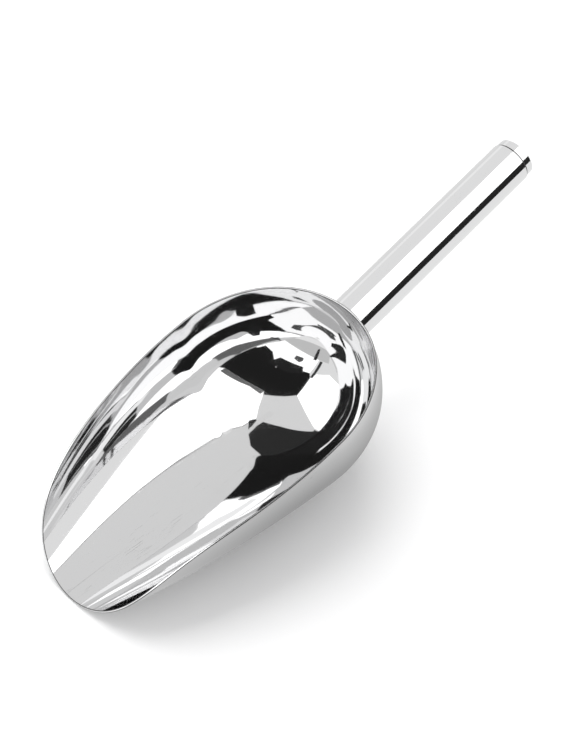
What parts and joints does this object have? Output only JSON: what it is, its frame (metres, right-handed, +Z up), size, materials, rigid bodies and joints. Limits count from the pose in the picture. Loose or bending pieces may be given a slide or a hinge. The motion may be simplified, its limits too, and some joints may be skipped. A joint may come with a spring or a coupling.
{
  "type": "ice scoop",
  "caption": "Bar ice scoop in polished stainless steel: open round-backed bowl cut low at the nose, with a straight capped tube handle welded to its back.",
  "frame": {"origin": "on the resting surface, under the middle of the scoop's overall length", "axes": "+X along the scoop from its nose to its handle, +Y to the left of someone looking along +X, +Z up"},
  "size_m": [0.2692, 0.098, 0.0889],
  "materials": {
    "bowl_steel": "mirror-polished stainless steel with fine wiping scratches",
    "handle_steel": "mirror-polished stainless steel tube",
    "weld_steel": "ground and polished weld bead",
    "cap_steel": "polished stainless steel, slightly duller than the tube"
  },
  "bodies": {
    "root": {"bowl": "bowl_steel", "handle_tube": "handle_steel", "handle_weld": "weld_steel", "end_cap": "cap_steel"}
  },
  "joints": []
}
